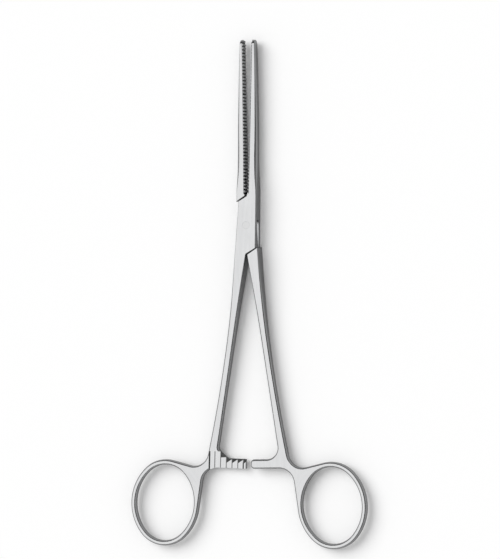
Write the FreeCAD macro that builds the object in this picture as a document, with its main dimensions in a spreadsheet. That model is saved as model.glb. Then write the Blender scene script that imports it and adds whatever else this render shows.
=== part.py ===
import FreeCAD, Part
import math
import os

import Sketcher
from FreeCAD import Placement, Rotation, Vector

# A straight box-lock artery forceps with long jaws, 200 mm from the jaw tips to the finger rings.
# Two forgings cross at the box lock: the female half carries the box, and the thin web of the male
# half passes through a slot in it. A flush pin holds them together and is the hinge.
# Frame: X to the right, Y towards the jaw tips, Z up. The forceps lies on its back face at Z = 0,
# with the hinge axis through the origin. Each half is drawn closed, with its jaw face along X = 0
# and its own mid-plane at Z = 0, and is then turned about the hinge to the slightly open rest.

SIZES = [
    ("rest_half_angle", 1.47, "how far each half is turned from closed, in degrees"),
    ("open_sweep", 66.0, "how far the web can turn in the slot from closed, in degrees"),
    ("running_gap", 0.05, "clearance between the faces of the two halves"),
    ("box_thickness", 6.4, "front face to back face at the lock"),
    ("box_half_width_top", 3.4, "shank side of the box at the upper shoulder"),
    ("box_side_foot", 3.95, "jaw side of the box at the lower shoulder"),
    ("shoulder_reach", 11.6, "hinge to the shoulder lines, measured along the closing plane"),
    ("shoulder_slope", 32.0, "slope of the shoulder lines across the box, in degrees"),
    ("web_thickness", 2.2, "thin part of the male half inside the slot"),
    ("web_radius", 3.45, "round of the web about the hinge"),
    ("pin_radius", 1.5, "lock pin, tight in the box walls"),
    ("pin_clearance", 0.03, "radial clearance of the pin in the web"),
    ("jaw_tip_reach", 73.2, "hinge to the jaw tips"),
    ("jaw_root_reach", 12.6, "hinge to the first serration"),
    ("jaw_root_depth", 3.7, "jaw face to jaw back at the root"),
    ("jaw_tip_depth", 1.35, "jaw face to jaw back at the tip"),
    ("jaw_back_bow", 0.35, "bulge of the jaw back between root and tip"),
    ("jaw_root_width", 5.6, "width of the jaw face at the root"),
    ("jaw_middle_width", 5.0, "width of the jaw face half way along"),
    ("jaw_tip_width", 4.4, "width of the jaw face at the rounded tip"),
    ("jaw_set", 0.5, "how far each jaw face stands back at the root when the tips meet"),
    ("serration_count", 45, "cross serrations on each jaw"),
    ("serration_depth", 0.45, "depth of the serrations"),
    ("shank_top_reach", 4.5, "closing plane to the outer side of the shank below the box"),
    ("shank_waist_reach", 7.5, "closing plane to the outer side of the shank half way down"),
    ("shank_outer_reach", 12.5, "closing plane to the outer side of the shank at its lower end"),
    ("shank_inner_reach", 10.05, "closing plane to the inner side of the shank above the ratchet"),
    ("shank_waist_level", 46.6, "hinge down to the shank's waist"),
    ("shank_end_level", 81.4, "hinge down to the lower end of the shank"),
    ("shank_upper_level", 36.0, "hinge down to the upper measuring place of the shank"),
    ("shank_upper_width", 4.9, "thickness of the shank in Z at that place"),
    ("handle_level", 86.0, "hinge down to where the handle's even thickness begins"),
    ("ring_width", 3.7, "thickness of ring and ratchet arm in Z"),
    ("ring_bar", 2.1, "thickness of the ring bar seen from the front"),
    ("ring_centre_reach", 31.85, "closing plane to the centre of the finger ring"),
    ("ring_centre_level", 111.0, "hinge down to the centre of the finger ring"),
    ("ring_half_breadth", 12.1, "half the breadth of the ring opening"),
    ("ring_half_height", 15.05, "half the height of the ring opening"),
    ("ring_end_radius", 10.2, "radius of the ring opening at its ends"),
    ("ring_lean", 3.0, "outward lean of the ring's foot, in degrees"),
    ("ring_hollow_level", 90.0, "hinge down to the centre of the hollow between ring and shank"),
    ("hollow_radius", 6.0, "that hollow, and the one between ring and ratchet arm"),
    ("arm_hollow_inset", 21.4, "centre of the ring to the centre of that hollow, across"),
    ("arm_top_level", 92.5, "hinge down to the top edge of the ratchet arms"),
    ("arm_height", 3.8, "height of the ratchet arms"),
    ("arm_overlap", 1.2, "how far each ratchet arm passes the closing plane when closed"),
    ("arm_root_radius", 4.5, "hollow between the plain ratchet arm and the shank"),
    ("arm_end_radius", 1.5, "rounding of the plain ratchet arm's end"),
    ("gusset_run", 3.6, "length of the bevel between the toothed arm and the shank"),
    ("gusset_easing", 2.0, "hollow at both ends of that bevel"),
    ("ratchet_root_reach", 13.6, "closing plane to the step where the ratchet ground starts"),
    ("ratchet_half_span", 4.6, "half the height of the ratchet ground, about the arm's middle"),
    ("tooth_count", 5, "ratchet teeth on each arm"),
    ("tooth_pitch", 2.4, "distance from one ratchet tooth to the next"),
    ("tooth_depth", 0.95, "depth of the ratchet teeth"),
    ("first_tooth_reach", 11.5, "closing plane to the upright flank nearest the shank"),
    ("edge_radius", 0.7, "rounding along the shanks and rings"),
    ("jaw_edge_radius", 0.9, "rounding along the jaw backs and the box sides"),
]

TOUCHING = 1e-3

os.makedirs("parts", exist_ok=True)
doc = FreeCAD.newDocument("artery_forceps")
sheet = doc.addObject("Spreadsheet::Sheet", "sizes")
for row, (alias, value, note) in enumerate(SIZES, start=1):
    sheet.set(f"A{row}", alias)
    sheet.set(f"B{row}", str(value))
    sheet.set(f"C{row}", note)
    sheet.setAlias(f"B{row}", alias)
doc.recompute()


def size(alias):
    """The value of one cell of the sheet."""
    return float(sheet.get(alias))


def right_of(heading):
    """The unit vector to the right of a heading in the plane of the forceps."""
    return Vector(heading.y, -heading.x, 0)


def belt(stations):
    """A closed outline laid round a list of circles like a belt round pulleys.

    Each station is (x, y, radius). A positive radius is passed anticlockwise, a negative one
    clockwise, and a radius of 0 is a sharp corner. Straight runs join them along common tangents.
    """
    runs = []
    for here, there in zip(stations, stations[1:] + stations[:1]):
        span = Vector(there[0] - here[0], there[1] - here[1], 0)
        growth = there[2] - here[2]
        length = math.sqrt(max(span.Length ** 2 - growth ** 2, 0.0))
        length = 0.0 if length < TOUCHING else length
        angle = math.atan2(span.y, span.x) - math.atan2(growth, length)
        heading = Vector(math.cos(angle), math.sin(angle), 0)
        start = Vector(here[0], here[1], 0) + right_of(heading) * here[2]
        end = Vector(there[0], there[1], 0) + right_of(heading) * there[2]
        runs.append((start, end))
    curves = []
    for index, (x, y, radius) in enumerate(stations):
        arrival = runs[index - 1][1]
        start, end = runs[index]
        if radius and arrival.distanceToPoint(start) > TOUCHING:
            curves.append(arc_about(Vector(x, y, 0), arrival, start, radius))
        if start.distanceToPoint(end) > TOUCHING:
            curves.append(Part.LineSegment(start, end))
    return curves


def arc_about(centre, first, last, radius):
    """The arc about a centre from one point to another, anticlockwise if the radius is positive."""
    if radius < 0:
        first, last = last, first
    start_angle = math.atan2(first.y - centre.y, first.x - centre.x)
    end_angle = math.atan2(last.y - centre.y, last.x - centre.x)
    circle = Part.Circle(centre, Vector(0, 0, 1), abs(radius))
    return Part.ArcOfCircle(circle, start_angle, end_angle)


def bow(start, end, bulge):
    """Centre and radius of the circle through two points that bulges to the right of the way."""
    way = end - start
    radius = way.Length ** 2 / (8 * bulge) + bulge / 2
    centre = start + way * 0.5 - right_of(way * (1 / way.Length)) * (radius - bulge)
    return centre, radius


def eased(before, corner, after, radius):
    """The station that rounds the corner between two neighbouring corners of an outline."""
    start, turn, end = (Vector(x, y, 0) for x, y in (before, corner, after))
    back = (start - turn).normalize()
    ahead = (end - turn).normalize()
    centre = turn + (back + ahead).normalize() * (radius / math.sin(back.getAngle(ahead) / 2))
    anticlockwise = back.cross(ahead).z < 0
    return (centre.x, centre.y, radius if anticlockwise else -radius)


def mirrored(stations):
    """The same outline on the other side of the closing plane."""
    return [(-x, y, radius) for x, y, radius in reversed(stations)]


def chain(points):
    """Straight lines from point to point."""
    corners = [Vector(x, y, 0) for x, y in points]
    return [Part.LineSegment(a, b) for a, b in zip(corners, corners[1:])]


def shoulder(x, side, offset=0.0):
    """Level of the shoulder line above (side 1) or below (side -1) the hinge, at a given x."""
    slope = math.radians(size("shoulder_slope"))
    reach = size("shoulder_reach") + offset / math.cos(slope)
    return side * reach + math.tan(slope) * x


def oval(grow):
    """The four circles of the finger ring's opening, or of an oval that much larger."""
    centre = Vector(size("ring_centre_reach"), -size("ring_centre_level"), 0)
    end_radius = size("ring_end_radius")
    breadth = size("ring_half_breadth")
    rise = size("ring_half_height") - end_radius
    side_radius = (breadth ** 2 + rise ** 2 - end_radius ** 2) / (2 * (breadth - end_radius))
    inset = side_radius - breadth
    lean = Rotation(Vector(0, 0, 1), size("ring_lean"))
    places = [(inset, 0, side_radius), (0, -rise, end_radius)]
    places += [(-inset, 0, side_radius), (0, rise, end_radius)]
    circles = []
    for x, y, radius in places:
        spot = centre + lean.multVec(Vector(x, y, 0))
        circles.append((spot.x, spot.y, radius + grow))
    return circles


def shank_bow():
    """The wide circle that the outer side of the shank follows."""
    top = Vector(size("shank_top_reach"), -size("shoulder_reach"), 0)
    foot = Vector(size("shank_outer_reach"), -size("shank_end_level"), 0)
    share = (size("shank_waist_level") + top.y) / (top.y - foot.y)
    chord_reach = top.x + (foot.x - top.x) * share
    return bow(top, foot, chord_reach - size("shank_waist_reach"))


def handle_outer(square_end):
    """Outline from the end of the ratchet arm, round the ring and up the outer side of the shank."""
    arm_foot = -size("arm_top_level") - size("arm_height")
    end_radius = 0.0 if square_end else size("arm_end_radius")
    hollow = size("hollow_radius")
    centre, radius = shank_bow()
    hollow_drop = size("ring_hollow_level") + centre.y
    hollow_x = centre.x - math.sqrt((radius - hollow) ** 2 - hollow_drop ** 2)
    stations = [
        (end_radius - size("arm_overlap"), arm_foot + end_radius, end_radius),
        (size("ring_centre_reach") - size("arm_hollow_inset"), arm_foot - hollow, -hollow),
    ]
    stations += oval(size("ring_bar"))
    stations += [
        (hollow_x, -size("ring_hollow_level"), -hollow),
        (centre.x, centre.y, -radius),
    ]
    return stations


def handle_inner(square_end):
    """Outline down the inner side of the shank to the end of the ratchet arm."""
    arm_top = -size("arm_top_level")
    arm_end = -size("arm_overlap")
    inner = size("shank_inner_reach")
    if square_end:
        run = size("gusset_run")
        easing = size("gusset_easing")
        box_foot = (0, shoulder(0, -1))
        upper = (inner, arm_top + run)
        lower = (inner - run, arm_top)
        end = (arm_end, arm_top)
        return [eased(box_foot, upper, lower, easing), eased(upper, lower, end, easing), (*end, 0)]
    root = size("arm_root_radius")
    end_radius = size("arm_end_radius")
    return [(inner - root, arm_top + root, -root), (arm_end + end_radius, arm_top - end_radius, end_radius)]


def jaw(first_swing):
    """Outline up the serrated face to the tip and down the back of the jaw to its root."""
    root = size("jaw_root_reach")
    tip = size("jaw_tip_reach")
    steps = 2 * int(size("serration_count"))
    corners = []
    for step in range(steps + 1):
        level = root + (tip - root) * step / steps
        set_back = size("running_gap") / 2 + size("jaw_set") * (1 - step / steps)
        swing = first_swing * (-1) ** step * size("serration_depth") / 2
        corners.append((swing - set_back, level, 0))
    back_tip = Vector(-size("jaw_tip_depth"), tip, 0)
    back_root = Vector(-size("jaw_root_depth"), root, 0)
    centre, radius = bow(back_tip, back_root, size("jaw_back_bow"))
    return corners + [(back_tip.x, tip, 0), (centre.x, centre.y, radius)]


def male_stations():
    """Outline of the male half: handle to the right, web round the hinge, jaw to the left."""
    gap = size("running_gap")
    web = size("web_radius")
    jaw_side = -size("jaw_root_depth") - 2 * gap
    centre, radius = shank_bow()
    corner_x = size("shank_top_reach")
    for _ in range(10):
        drop = shoulder(corner_x, -1, gap) - centre.y
        corner_x = centre.x - math.sqrt(radius ** 2 - drop ** 2)
    return handle_outer(False) + [
        (corner_x, shoulder(corner_x, -1, gap), 0),
        (web, shoulder(web, -1, gap), 0),
        (0, 0, web),
        (-gap, web, 0),
        (-gap, shoulder(0, 1) - size("jaw_set"), 0),
    ] + jaw(-1) + [
        (jaw_side, shoulder(jaw_side, 1, gap), 0),
        (-web, shoulder(-web, 1, gap), 0),
        (0, 0, web),
        (gap, -web, 0),
        (gap, shoulder(gap, -1, gap), 0),
    ] + handle_inner(False)


def female_stations():
    """Outline of the female half, drawn with its handle to the right and its jaw to the left."""
    edge = size("box_half_width_top")
    far_foot = size("box_side_foot")
    return handle_outer(True) + [
        (edge, shoulder(-edge, 1), 0),
        (0, shoulder(0, 1), 0),
    ] + jaw(1) + [
        (-far_foot, shoulder(far_foot, -1), 0),
        (0, shoulder(0, -1), 0),
    ] + handle_inner(True)


def side_profile():
    """The silhouette seen from the side, inside a frame: what lies between them is cut away."""
    half_box = size("box_thickness") / 2
    tip_half = size("jaw_tip_width") / 2
    tip_start = size("jaw_tip_reach") - tip_half
    jaw_start = (size("shoulder_reach") + size("jaw_root_reach")) / 2
    shank_start = size("jaw_set") - size("shoulder_reach")
    ring_start = -size("handle_level")
    ring_half = size("ring_width") / 2
    past_ring = -size("ring_centre_level") - 2 * size("ring_half_height")
    past_tip = size("jaw_tip_reach") + size("box_thickness")
    jaw_line = [
        (jaw_start, half_box),
        (jaw_start + 2 * size("box_thickness"), size("jaw_root_width") / 2),
        ((jaw_start + tip_start) / 2, size("jaw_middle_width") / 2),
        (tip_start, tip_half),
    ]
    shank_line = [
        (shank_start, half_box),
        (-size("shank_upper_level"), size("shank_upper_width") / 2),
        (ring_start, ring_half),
    ]
    curves = []
    for side in (1, -1):
        for line, way in ((jaw_line, 1), (shank_line, -1)):
            spline = Part.BSplineCurve()
            spline.interpolate(
                Points=[Vector(y, side * z, 0) for y, z in line],
                InitialTangent=Vector(way, 0, 0),
                FinalTangent=Vector(way, 0, 0))
            curves.append(spline)
        curves += chain([(shank_start, side * half_box), (jaw_start, side * half_box)])
        curves += chain([(ring_start, side * ring_half), (past_ring, side * ring_half)])
    curves += chain([(past_ring, -ring_half), (past_ring, ring_half)])
    curves.append(Part.Arc(
        Vector(tip_start, -tip_half, 0),
        Vector(size("jaw_tip_reach"), 0, 0),
        Vector(tip_start, tip_half, 0)))
    frame_low = past_ring - size("box_thickness")
    frame_half = 2 * size("box_thickness")
    curves += chain([
        (frame_low, -frame_half), (past_tip, -frame_half), (past_tip, frame_half),
        (frame_low, frame_half), (frame_low, -frame_half)])
    return curves


def sketch_on(body, name, role, curves, height=0.0):
    """A sketch on or above one of the body's origin planes, with its curves held where they lie."""
    plane = next(item for item in body.Origin.OriginFeatures if item.Role == role)
    sketch = body.newObject("Sketcher::SketchObject", name)
    sketch.AttachmentSupport = [(plane, "")]
    sketch.MapMode = "FlatFace"
    sketch.AttachmentOffset = Placement(Vector(0, 0, height), Rotation())
    sketch.addGeometry(curves, False)
    sketch.addConstraint([Sketcher.Constraint("Block", index) for index in range(len(curves))])
    return sketch


def cut(body, name, sketch, **settings):
    """A pocket from a sketch, checked to remove something."""
    before = body.Tip.Shape.Volume
    feature = body.newObject("PartDesign::Pocket", name)
    feature.Profile = sketch
    for key, value in settings.items():
        if key == "expression":
            feature.setExpression("Length", value)
        else:
            setattr(feature, key, value)
    doc.recompute()
    if before - feature.Shape.Volume < 1e-3:
        raise ValueError(f"{name} removed nothing")
    return feature


def is_wall(face):
    """Whether a face stands upright all over."""
    u_low, u_high, v_low, v_high = face.ParameterRange
    shares = (0.2, 0.5, 0.8)
    normals = [face.normalAt(u_low + (u_high - u_low) * a, v_low + (v_high - v_low) * b)
               for a in shares for b in shares]
    return max(abs(normal.z) for normal in normals) < 0.01


def rims(shape, wanted):
    """Names of the edges between an upright face and another, where the middle is wanted."""
    names = []
    for index, edge in enumerate(shape.Edges, start=1):
        walls = [is_wall(face) for face in shape.ancestorsOfType(edge, Part.Face)]
        middle = edge.valueAt((edge.FirstParameter + edge.LastParameter) / 2)
        if walls.count(True) == 1 and wanted(middle):
            names.append(f"Edge{index}")
    return names


def rounded(body, name, wanted, expression):
    """A fillet along the wanted rims of the body."""
    base = body.Tip
    feature = body.newObject("PartDesign::Fillet", name)
    feature.Base = (base, rims(base.Shape, wanted))
    feature.setExpression("Radius", expression)
    doc.recompute()
    if not feature.Shape.isValid() or feature.Shape.Volume > base.Shape.Volume:
        raise ValueError(f"{name} is not sound")


def round_sketch(body, name, expression):
    """A circle about the hinge axis whose radius follows the sizes."""
    sketch = sketch_on(body, name, "XY_Plane", [])
    sketch.addGeometry(Part.Circle(Vector(0, 0, 0), Vector(0, 0, 1), size("pin_radius")), False)
    sketch.addConstraint(Sketcher.Constraint("Coincident", 0, 3, -1, 1))
    sketch.addConstraint(Sketcher.Constraint("Radius", 0, size("pin_radius")))
    sketch.renameConstraint(1, "round_radius")
    sketch.setExpression("Constraints.round_radius", expression)
    return sketch


def ratchet(body, side, face):
    """The ground end of an arm, with its saw teeth, on the front (face 1) or the back (face -1)."""
    arm_middle = size("arm_top_level") + size("arm_height") / 2
    root = size("ratchet_root_reach")
    pitch = size("tooth_pitch")
    level = -size("running_gap")
    far = 2 * size("box_thickness")
    beyond = -size("arm_overlap") - pitch
    trace = [(root, far), (root, level)]
    for tooth in range(int(size("tooth_count"))):
        flank = size("first_tooth_reach") - tooth * pitch
        trace += [(flank, level - size("tooth_depth")), (flank, level)]
    trace += [(beyond, level), (beyond, far), (root, far)]
    placed = chain([(side * x, face * z) for x, z in trace])
    sketch = sketch_on(body, f"{body.Label}_ratchet", "XZ_Plane", placed, arm_middle)
    cut(body, f"{body.Label}_teeth", sketch, Midplane=True, expression="2 * sizes.ratchet_half_span")


def bore(body, expression):
    """The pin hole, right through."""
    sketch = round_sketch(body, f"{body.Label}_pin_circle", expression)
    cut(body, f"{body.Label}_pin_bore", sketch, Midplane=True, expression="2 * sizes.box_thickness")


def forging(name, side, stations):
    """A body with the outline raised to the box thickness and then thinned to its side profile."""
    body = doc.addObject("PartDesign::Body", name)
    body.Label = name
    hole = oval(0)
    if side < 0:
        stations = mirrored(stations)
        hole = mirrored(hole)
    outline = sketch_on(body, f"{name}_outline", "XY_Plane", belt(stations) + belt(hole))
    pad = body.newObject("PartDesign::Pad", f"{name}_blank")
    pad.Profile = outline
    pad.Midplane = True
    pad.setExpression("Length", "1.5 * sizes.box_thickness")
    doc.recompute()
    profile = sketch_on(body, f"{name}_profile", "YZ_Plane", side_profile())
    cut(body, f"{name}_thinning", profile, Midplane=True, expression="4 * sizes.ring_centre_reach")
    return body


male_half = forging("male_half", 1, male_stations())
female_half = forging("female_half", -1, female_stations())

gap = size("running_gap")
box_far = 2 * size("box_half_width_top")
web_half = size("web_thickness") / 2
between_shoulders = chain([
    (-box_far, shoulder(-box_far, -1, gap)), (box_far, shoulder(box_far, -1, gap)),
    (box_far, shoulder(box_far, 1, gap)), (-box_far, shoulder(-box_far, 1, gap)),
    (-box_far, shoulder(-box_far, -1, gap))])
for face_name, height, downwards in (("front", web_half, True), ("back", -web_half, False)):
    sketch = sketch_on(male_half, f"web_{face_name}", "XY_Plane", between_shoulders, height)
    cut(male_half, f"web_{face_name}_relief", sketch, Type="ThroughAll", Reversed=downwards)

box_reach = size("shoulder_reach")
box_side = size("box_half_width_top") - 0.1
jaw_reach = size("jaw_root_depth") / 3
rounded(male_half, "male_handle_edges", lambda spot: spot.y < -box_reach, "sizes.edge_radius")
rounded(
    male_half, "male_jaw_edges",
    lambda spot: spot.x < -jaw_reach and spot.y > box_reach - size("jaw_set"), "sizes.jaw_edge_radius")
rounded(
    female_half, "female_handle_edges",
    lambda spot: spot.x < 0.9 * size("arm_overlap") and (
        spot.y < -box_reach or spot.x < -box_side and spot.y < box_reach), "sizes.edge_radius")
rounded(
    female_half, "female_jaw_edges",
    lambda spot: spot.x > jaw_reach and (spot.y > box_reach or spot.x > box_side), "sizes.jaw_edge_radius")

sweep = math.radians(size("open_sweep"))
slot_radius = size("web_radius") + gap
bridge_level = slot_radius / math.sin(sweep) - 2 * box_far / math.tan(sweep)
slot_end = size("shoulder_reach") + size("web_radius")
slot = belt([
    (-gap, -slot_end, 0), (2 * box_far, -slot_end, 0), (2 * box_far, bridge_level, 0),
    (0, 0, slot_radius), (gap, slot_radius, 0), (gap, slot_end, 0),
    (-2 * box_far, slot_end, 0), (-2 * box_far, -bridge_level, 0),
    (0, 0, slot_radius), (-gap, -slot_radius, 0)])
cut(female_half, "lock_slot", sketch_on(female_half, "slot_outline", "XY_Plane", slot),
    Midplane=True, expression="sizes.web_thickness + 2 * sizes.running_gap")

bore(male_half, "sizes.pin_radius + sizes.pin_clearance")
bore(female_half, "sizes.pin_radius")
ratchet(male_half, 1, -1)
ratchet(female_half, -1, 1)

lock_pin = doc.addObject("PartDesign::Body", "lock_pin")
lock_pin.Label = "lock_pin"
pin_pad = lock_pin.newObject("PartDesign::Pad", "pin_shaft")
pin_pad.Profile = round_sketch(lock_pin, "pin_circle", "sizes.pin_radius")
pin_pad.Midplane = True
pin_pad.setExpression("Length", "sizes.box_thickness")
doc.recompute()

middle = Vector(0, 0, size("box_thickness") / 2)
turn = size("rest_half_angle")
male_half.Placement = Placement(middle, Rotation(Vector(0, 0, 1), turn))
female_half.Placement = Placement(middle, Rotation(Vector(0, 0, 1), -turn))
lock_pin.Placement = Placement(middle, Rotation(Vector(0, 0, 1), -turn))
doc.recompute()

for item in doc.Objects:
    if "Invalid" in item.State or "Error" in item.State:
        raise ValueError(f"{item.Label} failed")
for body in (female_half, male_half, lock_pin):
    if body.Shape.isNull() or not body.Shape.isValid() or len(body.Shape.Solids) != 1:
        raise ValueError(f"{body.Label} is not one sound solid")
    body.Shape.exportStep(f"parts/{body.Label}.step")
    box = body.Shape.BoundBox
    print(f"{body.Label}: {body.Shape.Volume:.1f} mm3, {len(body.Shape.Faces)} faces, "
          f"X {box.XMin:.2f} to {box.XMax:.2f}, Y {box.YMin:.2f} to {box.YMax:.2f}, "
          f"Z {box.ZMin:.2f} to {box.ZMax:.2f}")
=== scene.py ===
# %% [markdown]
# # Hemostat forceps in stainless steel
#
# The forceps lies on a white table and is seen from above. Its two halves are forgings: bars of steel
# hammered in a die, ground, and polished. They cross in a box lock, where the thin web of one half
# passes through a slot in the other, and a flush pin holds them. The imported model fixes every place
# and size. This lesson makes the three pieces again with softer, more finely ground surfaces.

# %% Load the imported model
import math

import bpy
import numpy as np
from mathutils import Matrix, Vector
from mathutils.geometry import delaunay_2d_cdt


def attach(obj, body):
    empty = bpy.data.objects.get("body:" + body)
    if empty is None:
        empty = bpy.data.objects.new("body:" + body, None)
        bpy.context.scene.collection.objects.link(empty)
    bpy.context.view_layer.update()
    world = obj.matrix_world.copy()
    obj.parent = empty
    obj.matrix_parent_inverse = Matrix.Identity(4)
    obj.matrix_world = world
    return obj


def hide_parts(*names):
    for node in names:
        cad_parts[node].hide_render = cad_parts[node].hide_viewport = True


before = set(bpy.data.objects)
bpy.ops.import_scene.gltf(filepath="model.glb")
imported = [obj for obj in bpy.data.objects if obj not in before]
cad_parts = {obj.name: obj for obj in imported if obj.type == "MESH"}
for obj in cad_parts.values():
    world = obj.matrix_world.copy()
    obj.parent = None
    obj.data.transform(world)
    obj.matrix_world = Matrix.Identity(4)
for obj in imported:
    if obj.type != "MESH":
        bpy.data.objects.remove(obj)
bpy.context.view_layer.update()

# %% [markdown]
# ## The camera
#
# The drawing shows the forceps turned a little about its long axis: the right-hand walls of the bars
# are in sight, and so is the toothed face of the left jaw. The camera therefore looks down from above,
# leaning 18 degrees to the right. A long lens keeps the view nearly parallel, as a drawing has it.

# %% Place the camera
MM = 0.001
VIEW_LEAN = math.radians(18)
VIEW_DISTANCE = 1.5
FRAME_HEIGHT = 559 * 0.395 * MM
VIEW_CENTRE = Vector((0.0006, -0.0215, 0.0032))

camera = bpy.data.objects.new("camera", bpy.data.cameras.new("camera"))
bpy.context.scene.collection.objects.link(camera)
camera.location = VIEW_CENTRE + VIEW_DISTANCE * Vector((math.sin(VIEW_LEAN), 0, math.cos(VIEW_LEAN)))
camera.rotation_euler = (0, VIEW_LEAN, 0)
camera.data.sensor_width = 36
camera.data.lens = 36 * VIEW_DISTANCE / FRAME_HEIGHT
camera.data.clip_end = 20
bpy.context.scene.camera = camera
print(f"lens {camera.data.lens:.0f} mm at {VIEW_DISTANCE} m")

# %% [markdown]
# ## An outline laid round circles
#
# A forged bar has no free curves: its edge is straight runs and arcs, as a belt runs round pulleys. So
# each half is drawn as a list of circles. A positive radius is passed anticlockwise, a negative one
# clockwise, and a radius of 0 is a sharp corner. All lengths here are millimetres, and each half is
# drawn closed, with its jaw face on x = 0, its handle to the right and its own middle plane at z = 0.

# %% Outline helpers
def belt(stations, spacing=0.4):
    """Points along the closed belt round circles (x, y, radius), anticlockwise, as an (n, 2) array.

    The run from one circle to the next lies along their common tangent: its heading is the direction
    between the centres, turned by the angle whose opposite side is the difference of the radii.
    """
    stations = np.array(stations, float)
    centres, radii = stations[:, :2], stations[:, 2]
    spans = np.roll(centres, -1, axis=0) - centres
    growth = np.roll(radii, -1) - radii
    lengths = np.sqrt(np.maximum((spans ** 2).sum(1) - growth ** 2, 0))
    lengths[lengths < 1e-3] = 0
    headings = np.arctan2(spans[:, 1], spans[:, 0]) - np.arctan2(growth, lengths)
    arcs = []
    for index, radius in enumerate(radii):
        way = 1 if radius >= 0 else -1
        turn = way * ((way * (headings[index] - headings[index - 1])) % (2 * math.pi))
        if radius == 0 or abs(turn) > 2 * math.pi - 1e-3:
            turn = 0
        steps = max(math.ceil(abs(radius * turn) / spacing), math.ceil(abs(turn) / 0.12))
        angles = headings[index - 1] + turn * np.linspace(0, 1, steps + 1)
        arcs.append(centres[index] + radius * np.stack([np.sin(angles), -np.cos(angles)], 1))
    points = np.concatenate(arcs)
    gaps = np.linalg.norm(points - np.roll(points, 1, axis=0), axis=1)
    return points[gaps > 1e-3]


def refined(points, spacing=0.4, tip_spacing=0.1, tip_level=70.5):
    """The closed outline with its long runs cut into equal steps, which are finer near the jaw tips."""
    following = np.roll(points, -1, axis=0)
    lengths = np.linalg.norm(following - points, axis=1)
    levels = np.maximum(points[:, 1], following[:, 1])
    target = np.where(levels > tip_level, tip_spacing, spacing)
    counts = np.maximum(np.ceil(lengths / target), 1).astype(int)
    first = np.repeat(np.cumsum(counts) - counts, counts)
    share = (np.arange(counts.sum()) - first) / np.repeat(counts, counts)
    return np.repeat(points, counts, axis=0) * (1 - share[:, None]) + (
        np.repeat(following, counts, axis=0) * share[:, None])


def circle_through(start, end, bulge):
    """Centre and radius of the circle through two points that bulges to the right of the way."""
    start, end = np.array(start, float), np.array(end, float)
    way = end - start
    chord = np.linalg.norm(way)
    radius = chord ** 2 / (8 * bulge) + bulge / 2
    right = np.array([way[1], -way[0]]) / chord
    return (start + end) / 2 - right * (radius - bulge), radius


def eased(before, corner, after, radius):
    """The circle that rounds the corner between two neighbouring corners."""
    before, corner, after = (np.array(p, float) for p in (before, corner, after))
    back = (before - corner) / np.linalg.norm(before - corner)
    ahead = (after - corner) / np.linalg.norm(after - corner)
    bisector = (back + ahead) / np.linalg.norm(back + ahead)
    half_angle = math.acos(np.dot(back, ahead)) / 2
    centre = corner + bisector * radius / math.sin(half_angle)
    anticlockwise = back[0] * ahead[1] - back[1] * ahead[0] < 0
    return (*centre, radius if anticlockwise else -radius)


# %% [markdown]
# ## The handles
#
# Ring, shank and ratchet arm flow into each other through hollows, because a sharp inner corner would
# crack in the die. The ring's opening is an oval of four arcs that leans outwards by 3 degrees, and
# the ring's outside is the same oval, wider by the bar. The outer side of the shank is one long arc
# that bows towards the middle of the forceps.

# %% Handle outlines
RING_CENTRE = np.array([31.85, -111.0])
RING_BAR = 2.1
SHOULDER_REACH = 11.6
SHOULDER_SLOPE = math.tan(math.radians(32))
RUNNING_GAP = 0.05
ARM_TOP, ARM_FOOT, ARM_OVERLAP = -92.5, -96.3, 1.2
ARM_ROOT_RADIUS, ARM_END_RADIUS, ARM_HOLLOW_INSET = 4.5, 1.5, 21.4
GUSSET_RUN, GUSSET_EASING = 3.6, 2.0
HOLLOW_RADIUS, HOLLOW_LEVEL = 6.0, -90.0
SHANK_INNER = 10.05
SHANK_TOP, SHANK_MIDDLE, SHANK_FOOT = np.array([(4.5, -SHOULDER_REACH), (7.5, -46.6), (12.5, -81.4)])
middle_share = (SHANK_MIDDLE - SHANK_TOP)[1] / (SHANK_FOOT - SHANK_TOP)[1]
shank_bow = (SHANK_TOP + (SHANK_FOOT - SHANK_TOP) * middle_share - SHANK_MIDDLE)[0]
SHANK_CENTRE, SHANK_RADIUS = circle_through(SHANK_TOP, SHANK_FOOT, shank_bow)


def shoulder(x, side, offset=0.0):
    """Level of the slanting shoulder line above (1) or below (-1) the hinge, at a given x."""
    reach = SHOULDER_REACH + offset * math.hypot(1, SHOULDER_SLOPE)
    return side * reach + SHOULDER_SLOPE * x


def oval(grow):
    """The four circles of the ring's opening, or of an oval that much larger all round."""
    end_radius, breadth, rise = 10.2, 12.1, 15.05 - 10.2
    side_radius = (breadth ** 2 + rise ** 2 - end_radius ** 2) / (2 * (breadth - end_radius))
    lean = math.radians(3)
    circles = []
    for x, y, radius in ((side_radius - breadth, 0, side_radius), (0, -rise, end_radius),
                         (breadth - side_radius, 0, side_radius), (0, rise, end_radius)):
        circles.append((
            RING_CENTRE[0] + x * math.cos(lean) - y * math.sin(lean),
            RING_CENTRE[1] + x * math.sin(lean) + y * math.cos(lean),
            radius + grow))
    return circles


def handle_outer(end_radius):
    """From the end of the ratchet arm, round the ring and up the outer side of the shank."""
    reach, drop = SHANK_RADIUS - HOLLOW_RADIUS, HOLLOW_LEVEL - SHANK_CENTRE[1]
    hollow_x = SHANK_CENTRE[0] - math.sqrt(reach ** 2 - drop ** 2)
    arm_hollow_x = RING_CENTRE[0] - ARM_HOLLOW_INSET
    return [
        (end_radius - ARM_OVERLAP, ARM_FOOT + end_radius, end_radius),
        (arm_hollow_x, ARM_FOOT - HOLLOW_RADIUS, -HOLLOW_RADIUS), *oval(RING_BAR),
        (hollow_x, HOLLOW_LEVEL, -HOLLOW_RADIUS), (*SHANK_CENTRE, -SHANK_RADIUS)]


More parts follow.
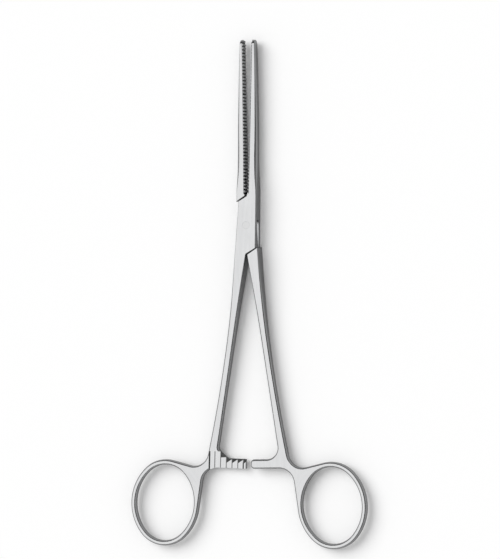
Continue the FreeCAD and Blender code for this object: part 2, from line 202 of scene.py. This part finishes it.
def handle_inner(toothed):
    """Down the inner side of the shank to the end of the ratchet arm."""
    if not toothed:
        root, end = ARM_ROOT_RADIUS, ARM_END_RADIUS
        return [(SHANK_INNER - root, ARM_TOP + root, -root), (end - ARM_OVERLAP, ARM_TOP - end, end)]
    box_foot = (0, shoulder(0, -1))
    upper, lower = (SHANK_INNER, ARM_TOP + GUSSET_RUN), (SHANK_INNER - GUSSET_RUN, ARM_TOP)
    end = (-ARM_OVERLAP, ARM_TOP)
    return [
        eased(box_foot, upper, lower, GUSSET_EASING), eased(upper, lower, end, GUSSET_EASING),
        (*end, 0)]


print("shank arc radius", round(SHANK_RADIUS), "mm")

# %% [markdown]
# ## The jaws
#
# Each jaw is long and straight. Its face carries fine serrations across it, and its back is rounded
# and runs to a blunt tip. The two faces stand slightly apart at the root when the tips meet, so that
# the forceps grips along the whole jaw. The teeth of one jaw face the valleys of the other.

# %% Jaw outline and the two halves
SERRATIONS, SERRATION_DEPTH = 45, 0.45
JAW_ROOT, JAW_TIP = 12.6, 73.2
JAW_ROOT_DEPTH, JAW_TIP_DEPTH, JAW_BOW = 3.7, 1.35, 0.35
JAW_SET = 0.5
TIP_ROUND = 0.6


def jaw(first_swing):
    """Up the serrated face in a zigzag, round the tip, and down the bowed back of the jaw."""
    share = np.linspace(0, 1, 2 * SERRATIONS + 1)
    levels = JAW_ROOT + (JAW_TIP - JAW_ROOT) * share
    swing = first_swing * np.where(np.arange(len(share)) % 2, -1, 1) * SERRATION_DEPTH / 2
    faces = swing - RUNNING_GAP / 2 - JAW_SET * (1 - share)
    tip_level = JAW_TIP - TIP_ROUND
    centre, radius = circle_through((-JAW_TIP_DEPTH, tip_level), (-JAW_ROOT_DEPTH, JAW_ROOT), JAW_BOW)
    corners = np.stack([faces, levels, 0 * share], 1).tolist()
    return corners + [(TIP_ROUND - JAW_TIP_DEPTH, tip_level, TIP_ROUND), (*centre, radius)]


WEB_RADIUS = 3.45
BOX_EDGE, BOX_FOOT = 3.4, 3.95
JAW_SIDE = -JAW_ROOT_DEPTH - 2 * RUNNING_GAP
corner_x = SHANK_TOP[0]
for _ in range(10):
    drop = shoulder(corner_x, -1, RUNNING_GAP) - SHANK_CENTRE[1]
    corner_x = SHANK_CENTRE[0] - math.sqrt(SHANK_RADIUS ** 2 - drop ** 2)

male_stations = handle_outer(ARM_END_RADIUS) + [
    (corner_x, shoulder(corner_x, -1, RUNNING_GAP), 0),
    (WEB_RADIUS, shoulder(WEB_RADIUS, -1, RUNNING_GAP), 0),
    (0, 0, WEB_RADIUS),
    (-RUNNING_GAP, WEB_RADIUS, 0),
    (-RUNNING_GAP, SHOULDER_REACH - JAW_SET, 0),
] + jaw(-1) + [
    (JAW_SIDE, shoulder(JAW_SIDE, 1, RUNNING_GAP), 0),
    (-WEB_RADIUS, shoulder(-WEB_RADIUS, 1, RUNNING_GAP), 0),
    (0, 0, WEB_RADIUS),
    (RUNNING_GAP, -WEB_RADIUS, 0),
    (RUNNING_GAP, shoulder(RUNNING_GAP, -1, RUNNING_GAP), 0),
] + handle_inner(False)

female_stations = handle_outer(0) + [
    (BOX_EDGE, shoulder(-BOX_EDGE, 1), 0),
    (0, shoulder(0, 1), 0),
] + jaw(1) + [
    (-BOX_FOOT, shoulder(BOX_FOOT, -1), 0),
    (0, shoulder(0, -1), 0),
] + handle_inner(True)

male_outline = refined(belt(male_stations))
female_outline = refined(belt(female_stations))
ring_opening = belt(oval(0))[::-1]
print(len(male_outline), len(female_outline), "points on the outlines,", len(ring_opening), "on a ring")

# %% [markdown]
# ## From outline to forging
#
# A forging could be a flat slab with bevelled edges, but real shanks and rings are worked to an oval
# section while the box lock stays square and crisp. So the section is carried round the outline: a
# quarter of an ellipse leads from the upright wall to the flat face, and how far it reaches inwards
# and downwards changes from place to place. Near a sharp corner it fades out, so that the rows of
# points never cross. What is left of each face inside the last row is filled with triangles.

# %% Thickness and rounding along the forceps
BOX_HALF = 3.2
TIP_START, TIP_HALF, TIP_EDGE = 71.0, 2.2, 0.06


def eased_through(t, knots, values):
    """A smooth curve through values at the knots, level at both ends (cubic between neighbours)."""
    knots, values = np.array(knots, float), np.array(values, float)
    slopes = np.gradient(values, knots)
    slopes[[0, -1]] = 0
    place = np.clip(np.searchsorted(knots, t) - 1, 0, len(knots) - 2)
    width = knots[place + 1] - knots[place]
    u = np.clip((t - knots[place]) / width, 0, 1)
    return (values[place] * (1 + 2 * u) * (1 - u) ** 2 + values[place + 1] * u ** 2 * (3 - 2 * u)
            + slopes[place] * width * u * (1 - u) ** 2 - slopes[place + 1] * width * u ** 2 * (1 - u))


def half_thickness(y):
    """Half the thickness at a level: full at the lock, thinner along jaws and shanks, round at the tip."""
    jaws = eased_through(y, [12.1, 24.9, 41.6, TIP_START], [BOX_HALF, 2.8, 2.5, TIP_HALF])
    shanks = eased_through(-y, [11.1, 36.0, 86.0], [BOX_HALF, 2.45, 1.85])
    tip = np.sqrt(np.maximum(TIP_HALF ** 2 - np.maximum(y - TIP_START, 0) ** 2, TIP_EDGE ** 2))
    return np.where(y > TIP_START, tip, np.where(y > 0, jaws, shanks))


def rounding(points, toothed):
    """How far the rounding reaches into the face and down the wall, at each point of an outline."""
    x, y = points[:, 0], points[:, 1]
    reach = eased_through(-y, [12, 20, 34, 60, 85, 96], [0.35, 0.6, 0.95, 1.0, 1.05, 0.98])
    drop = eased_through(-y, [12, 20, 34, 60, 85, 100], [0.35, 0.7, 1.3, 1.3, 1.3, 1.6])
    back_reach = eased_through(y, [12.6, 20, 41, 71], [0.4, 1.3, 1.2, 0.5])
    back_drop = eased_through(y, [12.6, 20, 41, 71], [0.5, 1.9, 1.9, 1.6])
    on_jaw = y > 12
    on_face = (y > SHOULDER_REACH - 0.6) & (x > -1.0) | (y > JAW_TIP - 0.05)
    in_box = np.abs(y) < 14
    on_shoulder = in_box & (np.minimum(np.abs(y - shoulder(x, 1)), np.abs(y - shoulder(x, -1))) < 0.1)
    arm = toothed & (x < 9.5) & (y < -91) & (y > -99)
    reach = np.where(on_jaw, back_reach, reach)
    drop = np.where(on_jaw, back_drop, drop)
    for zone, value in ((arm, 0.3), (on_shoulder, 0.32), (on_face, 0.05)):
        reach = np.where(zone, value, reach)
        drop = np.where(zone, value, drop)
    return reach, drop


# %% Carry the section round the outline
SECTION_STEPS = 7


def loop_frame(points, toothed):
    """Inward normals of a loop, and its rounding, faded out towards sharp outward corners."""
    ahead = np.roll(points, -1, axis=0) - points
    ahead /= np.linalg.norm(ahead, axis=1)[:, None]
    behind = np.roll(ahead, 1, axis=0)
    tangent = ahead + behind
    tangent /= np.linalg.norm(tangent, axis=1)[:, None]
    inward = np.stack([-tangent[:, 1], tangent[:, 0]], 1)
    turn = np.arctan2(behind[:, 0] * ahead[:, 1] - behind[:, 1] * ahead[:, 0], (ahead * behind).sum(1))
    along = np.cumsum(np.linalg.norm(np.roll(points, -1, axis=0) - points, axis=1))
    total = along[-1]
    along = np.roll(along, 1)
    along[0] = 0
    reach, drop = rounding(points, toothed)
    corners = along[turn > math.radians(25)]
    if len(corners):
        away = np.abs(along[:, None] - corners[None, :])
        away = np.minimum(away, total - away).min(1)
        reach = np.minimum(reach, 0.45 * away)
    return inward, reach, drop


def forged(loops, toothed):
    """Points and faces of a closed forging: an elliptic edge section carried round each loop.

    At a share of a quarter turn f the section lies inwards by reach * (1 - cos f) and its height is
    (half thickness - drop) + drop * sin f, on the front, and mirrored on the back.
    """
    quarter = np.linspace(0, math.pi / 2, SECTION_STEPS + 1)
    points, quads, rims, base = [], [], [], 0
    for loop in loops:
        count = len(loop)
        inward, reach, drop = loop_frame(loop, toothed)
        inset = reach[None, :] * (1 - np.cos(quarter))[:, None]
        rows = loop[None, :, :] + inward[None, :, :] * inset[:, :, None]
        half = half_thickness(rows[:, :, 1])
        depth = np.minimum(drop[None, :], 0.95 * half)
        height = half - depth + depth * np.sin(quarter)[:, None]
        front = np.concatenate([rows, height[:, :, None]], 2)
        back = front[::-1] * [1, 1, -1]
        grid = np.concatenate([back, front]).reshape(-1, 3)
        row_count = 2 * (SECTION_STEPS + 1)
        row, column = np.meshgrid(np.arange(row_count - 1), np.arange(count), indexing="ij")
        after = (column + 1) % count
        quad = np.stack([row * count + column, row * count + after,
                         (row + 1) * count + after, (row + 1) * count + column], -1).reshape(-1, 4)
        points.append(grid)
        quads.append(quad + base)
        rims.append((base + np.arange(count), base + (row_count - 1) * count + np.arange(count)))
        base += len(grid)
    points = np.concatenate(points)
    faces = np.concatenate(quads).tolist()
    back_rim = np.concatenate([rim[0] for rim in rims])
    front_rim = np.concatenate([rim[1] for rim in rims])
    triangles = fill([points[rim[1], :2] for rim in rims])
    faces += front_rim[triangles].tolist()
    faces += back_rim[triangles[:, ::-1]].tolist()
    return points, faces


def inside(spots, loop):
    """Whether each spot lies inside a closed loop: an odd number of edges crosses the ray to its right."""
    x, y = spots[:, 0][:, None], spots[:, 1][:, None]
    ax, ay = loop[:, 0][None, :], loop[:, 1][None, :]
    bx, by = np.roll(loop, -1, axis=0).T[:, None, :]
    crosses = (ay > y) != (by > y)
    rise = np.where(by == ay, 1, by - ay)
    at = ax + (y - ay) * (bx - ax) / rise
    return (crosses & (x < at)).sum(1) % 2 == 1


def fill(loops):
    """Triangles, anticlockwise, that fill the first loop and leave the others open."""
    flat = np.concatenate(loops)
    edges, base = [], 0
    for loop in loops:
        order = np.arange(len(loop))
        edges += (base + np.stack([order, np.roll(order, -1)], 1)).tolist()
        base += len(loop)
    spots, _, triangles, *_ = delaunay_2d_cdt([Vector(p) for p in flat.tolist()], edges, [], 1, 1e-7)
    if len(spots) != len(flat):
        raise ValueError(f"the face's rim crosses itself: {len(flat)} points became {len(spots)}")
    triangles = np.array(triangles)
    a, b, c = (flat[triangles[:, k]] for k in range(3))
    area = (b[:, 0] - a[:, 0]) * (c[:, 1] - a[:, 1]) - (b[:, 1] - a[:, 1]) * (c[:, 0] - a[:, 0])
    triangles = np.where((area < 0)[:, None], triangles[:, ::-1], triangles)
    centre = (a + b + c) / 3
    keep = inside(centre, loops[0])
    for hole in loops[1:]:
        keep &= ~inside(centre, hole)
    return triangles[keep & (np.abs(area) > 1e-9)]


def raw_piece(name, points, faces):
    """A Blender object from points in millimetres, for the cuts that follow."""
    mesh = bpy.data.meshes.new(name)
    mesh.from_pydata(points.tolist(), [], faces)
    mesh.update()
    piece = bpy.data.objects.new(name, mesh)
    bpy.context.scene.collection.objects.link(piece)
    return piece


male_piece = raw_piece("male_forging_blank", *forged([male_outline, ring_opening], False))
points, faces = forged([female_outline, ring_opening], True)
female_piece = raw_piece("female_forging_blank", points * [-1, 1, 1], [face[::-1] for face in faces])
for piece in (male_piece, female_piece):
    print(piece.name, len(piece.data.vertices), "points,", len(piece.data.polygons), "faces")

# %% [markdown]
# ## Slot, web and ratchet
#
# What the forge can't give is milled afterwards: the slot through the box, the two sides of the web,
# the hole for the pin and the teeth of the ratchet. Here too they are cut out of the blanks, each by
# a block of the cutter's shape. The slot leaves two bridges between the box's walls, which also stop
# the web when the forceps is wide open.

# %% Cutters
def block(name, corners, low, high, upright=True):
    """A prism over a closed polygon: its rows lie at two heights, along z, or along y if not upright."""
    corners = np.array(corners, float)
    count = len(corners)
    area = (corners[:, 0] * np.roll(corners[:, 1], -1) - np.roll(corners[:, 0], -1) * corners[:, 1]).sum()
    corners = corners if area > 0 else corners[::-1]
    rows = [np.insert(corners, 2, height, axis=1) for height in (low, high)]
    points = np.concatenate(rows)
    if not upright:
        points = points[:, [0, 2, 1]]
    order = np.arange(count)
    after = np.roll(order, -1)
    faces = np.stack([order, after, after + count, order + count], 1).tolist()
    faces += [order[::-1].tolist(), (order + count).tolist()]
    if not upright:
        faces = [face[::-1] for face in faces]
    return raw_piece(name, points, faces)


def carved(piece, cutters):
    """The piece with each cutter taken out of it in turn, as a new mesh."""
    for cutter in cutters:
        step = piece.modifiers.new(cutter.name, "BOOLEAN")
        step.operation = "DIFFERENCE"
        step.solver = "EXACT"
        step.object = cutter
    shown = piece.evaluated_get(bpy.context.evaluated_depsgraph_get())
    mesh = bpy.data.meshes.new_from_object(shown)
    piece.modifiers.clear()
    piece.data = mesh
    for cutter in cutters:
        bpy.data.objects.remove(cutter)
    print(piece.name, len(mesh.vertices), "points after", len(cutters), "cuts")


WEB_HALF = 1.1
PIN_RADIUS, PIN_CLEARANCE = 1.5, 0.03
CUTTER_REACH, CUT_CLEARANCE = 8, 0.01
OPEN_SWEEP = math.radians(66)
FAR = 2 * BOX_EDGE

slot_radius = WEB_RADIUS + RUNNING_GAP
bridge = slot_radius / math.sin(OPEN_SWEEP) - 2 * FAR / math.tan(OPEN_SWEEP)
slot_end = SHOULDER_REACH + WEB_RADIUS
slot_outline = belt([
    (-RUNNING_GAP, -slot_end, 0), (2 * FAR, -slot_end, 0), (2 * FAR, bridge, 0),
    (0, 0, slot_radius), (RUNNING_GAP, slot_radius, 0), (RUNNING_GAP, slot_end, 0),
    (-2 * FAR, slot_end, 0), (-2 * FAR, -bridge, 0),
    (0, 0, slot_radius), (-RUNNING_GAP, -slot_radius, 0)])
web_side = [(x, shoulder(x, side, RUNNING_GAP - CUT_CLEARANCE)) for x, side in (
    (-FAR, -1), (FAR, -1), (FAR, 1), (-FAR, 1))]


def pin_hole(name, radius):
    """A round cutter about the hinge, through both faces."""
    angles = np.linspace(0, 2 * math.pi, 64, endpoint=False)
    return block(name, radius * np.stack([np.cos(angles), np.sin(angles)], 1), -BOX_HALF - 1, BOX_HALF + 1)


# %% Ratchet teeth
TOOTH_PITCH, TOOTH_DEPTH, FIRST_TOOTH, TEETH = 2.4, 0.95, 11.5, 5
RATCHET_ROOT, RATCHET_HALF_SPAN = 13.6, 4.6


def ratchet(name, side, face):
    """The saw-toothed cutter that grinds half of an arm away, on its front (1) or its back (-1)."""
    flanks = FIRST_TOOTH - TOOTH_PITCH * np.arange(TEETH)
    saw = np.stack([np.repeat(flanks, 2), np.tile([-TOOTH_DEPTH, 0], TEETH) - RUNNING_GAP], 1)
    beyond = -ARM_OVERLAP - TOOTH_PITCH
    trace = np.concatenate([[(RATCHET_ROOT, CUTTER_REACH), (RATCHET_ROOT, -RUNNING_GAP)], saw,
                            [(beyond, -RUNNING_GAP), (beyond, CUTTER_REACH)]])
    middle = (ARM_TOP + ARM_FOOT) / 2
    low, high = middle - RATCHET_HALF_SPAN, middle + RATCHET_HALF_SPAN
    return block(name, trace * [side, face], low, high, upright=False)


HEAD_REACH, HEAD_MARGIN, HEAD_CLIMB = 1.8, 0.6, 2.6


def head_wedge(name):
    """A wedge along the toothed arm's top edge and up the gusset, which gives each tooth a sloping head.

    Its section is a triangle set across the way. At the bend it stands on the bisector, and is longer
    there by one over the cosine of half the bend.
    """
    bend = (GUSSET_RUN - SHANK_INNER, ARM_TOP)
    way = np.array([(ARM_OVERLAP + 2, ARM_TOP), bend, (bend[0] - HEAD_CLIMB, bend[1] + HEAD_CLIMB)])
    turn = math.radians(45)
    outward = np.array([(0, 1), (math.tan(turn / 2), 1), (math.sin(turn), math.cos(turn))])
    slope = TOOTH_DEPTH / HEAD_REACH
    inner = -HEAD_REACH - HEAD_MARGIN
    low, high = (-RUNNING_GAP - TOOTH_DEPTH - slope * offset for offset in (HEAD_MARGIN, inner))
    section = np.array([(HEAD_MARGIN, low), (HEAD_MARGIN, high), (inner, high)])
    flat = way[:, None, :] + outward[:, None, :] * section[None, :, :1]
    points = np.concatenate([flat, np.broadcast_to(section[None, :, 1:], (3, 3, 1))], 2).reshape(-1, 3)
    order = np.arange(3)
    after = np.roll(order, -1)
    quads = np.concatenate([np.stack([after, order, order + 3, after + 3], 1) + row for row in (0, 3)])
    return raw_piece(name, points, quads.tolist() + [[0, 1, 2], [8, 7, 6]])


carved(male_piece, [
    block("web_front", web_side, WEB_HALF, CUTTER_REACH),
    block("web_back", web_side, -CUTTER_REACH, -WEB_HALF),
    pin_hole("male_bore", PIN_RADIUS + PIN_CLEARANCE), ratchet("male_teeth", 1, -1)])
carved(female_piece, [
    block("slot", slot_outline, -WEB_HALF - RUNNING_GAP, WEB_HALF + RUNNING_GAP),
    pin_hole("female_bore", PIN_RADIUS), ratchet("female_teeth", -1, 1), head_wedge("tooth_heads")])

# %% [markdown]
# ## The lock pin
#
# The pin is pressed through the box, cut off and ground flush with both faces. Only a hairline round
# its ends tells where it is, so it is turned as a profile spun about the hinge, with a tiny chamfer.

# %% Turn the pin
def turned(profile, count=64):
    """A profile of (radius, height) pairs spun about the z axis: x, y = radius * cos, sin of the angle."""
    profile = np.array(profile, float)
    angles = np.linspace(0, 2 * math.pi, count, endpoint=False)
    radius, height = profile[:, 0][:, None], profile[:, 1][:, None]
    rows = np.stack([radius * np.cos(angles), radius * np.sin(angles), height + 0 * angles], -1)
    row, column = np.meshgrid(np.arange(len(profile) - 1), np.arange(count), indexing="ij")
    after = (column + 1) % count
    quads = np.stack([row * count + column, row * count + after,
                      (row + 1) * count + after, (row + 1) * count + column], -1).reshape(-1, 4)
    order = np.arange(count)
    faces = quads.tolist() + [order[::-1].tolist(), (order + (len(profile) - 1) * count).tolist()]
    return rows.reshape(-1, 3), faces


PIN_CHAMFER = 0.035
pin_piece = raw_piece("lock_pin_turned", *turned([
    (PIN_RADIUS - PIN_CHAMFER, -BOX_HALF), (PIN_RADIUS, -BOX_HALF + PIN_CHAMFER),
    (PIN_RADIUS, BOX_HALF - PIN_CHAMFER), (PIN_RADIUS - PIN_CHAMFER, BOX_HALF)]))

# %% [markdown]
# ## Into the frame of the model
#
# Each half was drawn closed. At rest the forceps stands slightly open, so each half is turned by 1.47
# degrees about the hinge, lifted by half the thickness of the box, and brought to metres. The turn
# goes into the points themselves, so that every object stays at the origin.

# %% Finish the meshes
REST_TURN = math.radians(1.47)


def finished(piece, name, turn, body, node):
    """Turns the points about the hinge, brings them to metres, and hands the piece to its body."""
    mesh = piece.data
    count = len(mesh.vertices)
    spots = np.empty(3 * count)
    mesh.vertices.foreach_get("co", spots)
    x, y, z = spots.reshape(-1, 3).T
    placed = np.stack([x * math.cos(turn) - y * math.sin(turn),
                       x * math.sin(turn) + y * math.cos(turn), z + BOX_HALF], 1) * MM
    mesh.vertices.foreach_set("co", placed.ravel())
    mesh.polygons.foreach_set("use_smooth", np.ones(len(mesh.polygons), bool))
    mesh.set_sharp_from_angle(angle=math.radians(28))
    mesh.update()
    mesh.name = piece.name = name
    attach(piece, body)
    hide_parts(node)
    print(name, count, "points, X", placed[:, 0].min().round(4), "to", placed[:, 0].max().round(4))


finished(male_piece, "male_forging_ground", REST_TURN, "male_forging", "male_half")
finished(female_piece, "female_forging_ground", -REST_TURN, "female_forging", "female_half")
finished(pin_piece, "lock_pin_ground", -REST_TURN, "female_forging", "lock_pin")

# %% [markdown]
# ## Shader maths
#
# A finish is a sum of simple patterns. The small class below wraps an output socket, so that such a
# sum reads as a line of Python. Every other node comes from one method.

# %% Shader helpers
class Signal:
    """An output socket of a material that can be used in Python sums."""

    def __init__(self, finish, socket):
        self.finish = finish
        self.socket = socket

    def _sum(self, operation, left, right):
        return self.finish.maths(operation, left, right)

    def __add__(self, other):
        return self._sum("ADD", self, other)

    def __radd__(self, other):
        return self._sum("ADD", other, self)

    def __sub__(self, other):
        return self._sum("SUBTRACT", self, other)

    def __rsub__(self, other):
        return self._sum("SUBTRACT", other, self)

    def __mul__(self, other):
        return self._sum("MULTIPLY", self, other)

    def __rmul__(self, other):
        return self._sum("MULTIPLY", other, self)


class Finish:
    """A material under construction: its node tree and its one surface shader."""

    def __init__(self, name, **constants):
        self.material = bpy.data.materials.new(name)
        self.material.use_nodes = True
        self.tree = self.material.node_tree
        self.shader = self.tree.nodes["Principled BSDF"]
        for socket, value in constants.items():
            self.shader.inputs[socket.replace("_", " ")].default_value = value

    def node(self, kind, settings=None, sockets=None, output=0):
        """A node with its settings made first, then its sockets filled with values or signals."""
        made = self.tree.nodes.new(kind)
        for key, value in (settings or {}).items():
            setattr(made, key, value)
        for key, value in (sockets or {}).items():
            self.feed(made.inputs[key], value)
        return Signal(self, made.outputs[output])

    def feed(self, target, value):
        """Links a signal to a socket, or sets the socket's own value."""
        if isinstance(value, Signal):
            self.tree.links.new(value.socket, target)
        else:
            target.default_value = value

    def maths(self, operation, value, other=0.0):
        """One step of arithmetic by its name in Blender, such as ADD or ABSOLUTE."""
        return self.node("ShaderNodeMath", {"operation": operation}, {0: value, 1: other})

    def ramp(self, value, low, high):
        """Rises smoothly from 0 to 1 while the value goes from low to high."""
        return self.node("ShaderNodeMapRange", {"interpolation_type": "SMOOTHSTEP"}, {
            "Value": value, "From Min": low, "From Max": high})

    def surface(self, **signals):
        """Feeds the shader's own sockets."""
        for socket, value in signals.items():
            self.feed(self.shader.inputs[socket.replace("_", " ")], value)


# %% [markdown]
# ## Stainless steel
#
# A polished forging still shows how it was ground: fine lines that follow the bar, along the shanks
# and jaws and round the rings, and cloudy patches where hands and cloths have dulled the polish. The
# lines are noise stretched along the bar. Round a ring they follow the angle about its centre instead.
# Shade is painted into the colour: along the joints at the box's shoulders, in the valleys of the
# serrations, and on the feet and sloping heads of the ratchet teeth. The serrated band is painted
# lighter, a painted highlight, and it is also rougher.

# %% Steel of the halves
def forged_steel(name, turn):
    """Bright stainless steel, ground along the bar and lightly clouded, with painted shade in its recesses
    and a painted highlight on its serrations.
    """
    finish = Finish(name, Metallic=1.0)
    spot = finish.node("ShaderNodeTexCoord", output=3)
    parts = [finish.node("ShaderNodeSeparateXYZ", None, {0: spot}, output) for output in range(3)]
    x, y, z = (part * (1 / MM) for part in parts)
    across = x * math.cos(turn) + y * math.sin(turn)
    along = y * math.cos(turn) - x * math.sin(turn)
    aside = finish.maths("ABSOLUTE", across)
    side = aside - float(RING_CENTRE[0])
    down = along - float(RING_CENTRE[1])
    radius = finish.maths("SQRT", side * side + down * down)
    angle = finish.maths("ARCTAN2", down, side)

    level = finish.maths("ABSOLUTE", along)
    from_joint = finish.maths("ABSOLUTE", level - SHOULDER_REACH + aside * SHOULDER_SLOPE)
    # Painted shade along the joints at the box's shoulders, where the gap between the halves would be in
    # shade.
    joint_shade = (1 - finish.ramp(from_joint, 0.12, 0.42)) * finish.ramp(across * along, 0.1, -0.1)
    face = RUNNING_GAP / 2 + JAW_SET * (1 - (along - JAW_ROOT) * (1 / (JAW_TIP - JAW_ROOT)))
    sunk = aside - face
    # The serrated band of the jaw: rougher, as it is milled, and painted lighter as a painted highlight.
    milled_and_highlit = finish.ramp(sunk, 0.32, 0.25) * finish.ramp(along, 12.2, 12.5) * finish.ramp(along, 73.0, 72.7)
    # Painted shade in the valleys of the serrations, in place of the occlusion there.
    valley_shade = finish.ramp(sunk, -0.04, 0.16) * milled_and_highlit
    place = finish.maths("FRACT", (across + FIRST_TOOTH) * (1 / TOOTH_PITCH))
    on_arm = finish.ramp(across, -13.7, -13.4) * finish.ramp(across, 1.3, 1.2)
    ground = on_arm * finish.ramp(along, -89.6, -89.9) * finish.ramp(z, BOX_HALF + 0.1, BOX_HALF)
    # Painted shade at the foot of each tooth's flank, where the notch is deepest.
    foot = ground * finish.ramp(place, 0.7, 0.85)
    normal = finish.node("ShaderNodeNewGeometry", output=1)
    upwards = finish.ramp(finish.node("ShaderNodeSeparateXYZ", None, {0: normal}, 2), 0.5, 0.6)
    saw_level = BOX_HALF - RUNNING_GAP - TOOTH_DEPTH * place
    # Painted shade on the sloping heads of the teeth, only where the surface faces upwards.
    head = ground * upwards * finish.ramp(saw_level - z, 0.02, 0.1)
    # Only the female half's toothed arm gets this painted shade.
    teeth = (foot + head) * (1 if turn < 0 else 0)
    # All the painted shade together, at most 1.
    dark = finish.maths("MINIMUM", joint_shade + valley_shade + teeth, 1.0)

    def lines(side, along, height):
        """Noise that is fine across the bar and long along it."""
        vector = finish.node("ShaderNodeCombineXYZ", None, {0: side, 1: along, 2: height})
        return finish.node("ShaderNodeTexNoise", None, {
            "Vector": vector, "Scale": 1.0, "Detail": 3.0, "Roughness": 0.6})

    straight = lines(across * 1.8, along * 0.08, z * 1.8)
    curved = lines(radius * 1.8, angle * 1.4, z * 1.8)
    grain = straight + (curved - straight) * finish.ramp(radius, 19.5, 16.5)
    clouds = finish.node("ShaderNodeTexNoise", None, {
        "Vector": spot, "Scale": 95.0, "Detail": 4.0, "Roughness": 0.55, "Distortion": 0.6})
    # Painted shade takes up to 90 percent off the tone; the serrated band gets a painted highlight of 0.22.
    tone = (0.72 + 0.08 * (clouds - 0.5) + 0.1 * (grain - 0.5) + 0.22 * milled_and_highlit) * (1 - 0.9 * dark)
    colour = finish.node("ShaderNodeCombineColor", None, {0: tone, 1: tone * 1.006, 2: tone * 1.016})
    rough = 0.16 + 0.14 * (clouds - 0.5) + 0.14 * (grain - 0.5) + 0.4 * milled_and_highlit
    bump = finish.node("ShaderNodeBump", None, {"Strength": 0.22, "Distance": 0.00002, "Height": grain})
    finish.surface(Base_Color=colour, Roughness=rough, Normal=bump)
    return finish.material


def pin_steel(name):
    """Steel ground flush: rings of very fine lines about the hinge."""
    finish = Finish(name, Metallic=1.0)
    spot = finish.node("ShaderNodeTexCoord", output=3)
    x, y, z = (finish.node("ShaderNodeSeparateXYZ", None, {0: spot}, output) for output in range(3))
    radius = finish.maths("SQRT", x * x + y * y)
    vector = finish.node("ShaderNodeCombineXYZ", None, {0: radius * 6000, 1: y * 300, 2: z * 3000})
    grain = finish.node("ShaderNodeTexNoise", None, {"Vector": vector, "Scale": 1.0, "Detail": 3.0})
    tone = 0.71 + 0.06 * (grain - 0.5)
    colour = finish.node("ShaderNodeCombineColor", None, {0: tone, 1: tone * 1.005, 2: tone * 1.012})
    bump = finish.node("ShaderNodeBump", None, {"Strength": 0.15, "Distance": 0.00002, "Height": grain})
    finish.surface(Base_Color=colour, Roughness=0.17 + 0.14 * (grain - 0.5), Normal=bump)
    return finish.material


for piece, steel in (
        (male_piece, forged_steel("male_ground_steel", REST_TURN)),
        (female_piece, forged_steel("female_ground_steel", -REST_TURN)),
        (pin_piece, pin_steel("flush_pin_steel"))):
    piece.data.materials.clear()
    piece.data.materials.append(steel)
    print(piece.name, "has", steel.name)

# %% [markdown]
# ## Table, light and surroundings
#
# The table is white and keeps the shadow. Light comes from the upper left, as in the drawing, so that
# the walls on the right are dark. Polished steel shows what stands around it: a white sky, and a dark
# wall round the table, highest on the right and at the top of the picture, which draws a dark line
# along the edge of every bar.

# %% Table and wall
def sheet_piece(name, corners):
    """A flat four-cornered surface."""
    piece = raw_piece(name, np.array(corners, float), [[0, 1, 2, 3]])
    return piece


table = sheet_piece("table", [(-4, -4, 0), (4, -4, 0), (4, 4, 0), (-4, 4, 0)])
table_finish = Finish("white_table", Roughness=0.9)
seen = table_finish.node("ShaderNodeLightPath")
paper = 0.35 + 0.65 * seen
white = table_finish.node("ShaderNodeCombineColor", None, {0: paper, 1: paper, 2: paper})
table_finish.shader.inputs["Specular IOR Level"].default_value = 0.0
table_finish.surface(Base_Color=white)
table.data.materials.append(table_finish.material)


def wall_piece(name, radius=0.6, low=0.14, high=0.52, count=64):
    """An upright wall round the table: x, y = radius * cos, sin of the azimuth, higher on two sides."""
    azimuth = np.linspace(0, 2 * math.pi, count, endpoint=False)
    top = low + (high - low) * np.maximum(np.maximum(np.cos(azimuth), np.sin(azimuth)), 0) ** 2
    rows = [np.stack([radius * np.cos(azimuth), radius * np.sin(azimuth), height], 1)
            for height in (0 * top, top)]
    order = np.arange(count)
    after = np.roll(order, -1)
    faces = np.stack([after, order, order + count, after + count], 1)
    piece = raw_piece(name, np.concatenate(rows), faces.tolist())
    return piece


wall = wall_piece("dark_wall")
wall_finish = Finish("dark_wall", Roughness=1.0)
wall_finish.surface(Base_Color=(0.03, 0.03, 0.03, 1))
wall.data.materials.append(wall_finish.material)
wall.visible_camera = wall.visible_diffuse = wall.visible_shadow = False

# %% Lamp and room
lamp = bpy.data.objects.new("lamp", bpy.data.lights.new("lamp", "SUN"))
bpy.context.scene.collection.objects.link(lamp)
lamp.data.energy = 1.75
lamp.data.angle = math.radians(50)
lamp.visible_glossy = False
lamp.rotation_euler = Vector((-0.62, 0.42, 0.85)).to_track_quat("Z", "Y").to_euler()

room = bpy.data.worlds.new("room")
room.use_nodes = True
bpy.context.scene.world = room
tree = room.node_tree
path = tree.nodes.new("ShaderNodeLightPath")
shown = tree.nodes.new("ShaderNodeMath")
shown.operation = "MAXIMUM"
tree.links.new(path.outputs["Is Camera Ray"], shown.inputs[0])
tree.links.new(path.outputs["Is Glossy Ray"], shown.inputs[1])
seen_or_clear = tree.nodes.new("ShaderNodeMath")
seen_or_clear.operation = "MAXIMUM"
tree.links.new(shown.outputs[0], seen_or_clear.inputs[0])
tree.links.new(path.outputs["Is Transmission Ray"], seen_or_clear.inputs[1])
strength = tree.nodes.new("ShaderNodeMapRange")
strength.inputs["To Min"].default_value = 0.58
strength.inputs["To Max"].default_value = 1.0
tree.links.new(seen_or_clear.outputs[0], strength.inputs["Value"])
tree.links.new(strength.outputs[0], tree.nodes["Background"].inputs["Strength"])
tree.nodes["Background"].inputs["Color"].default_value = (1, 1, 1, 1)
bpy.context.scene.view_settings.view_transform = "Standard"
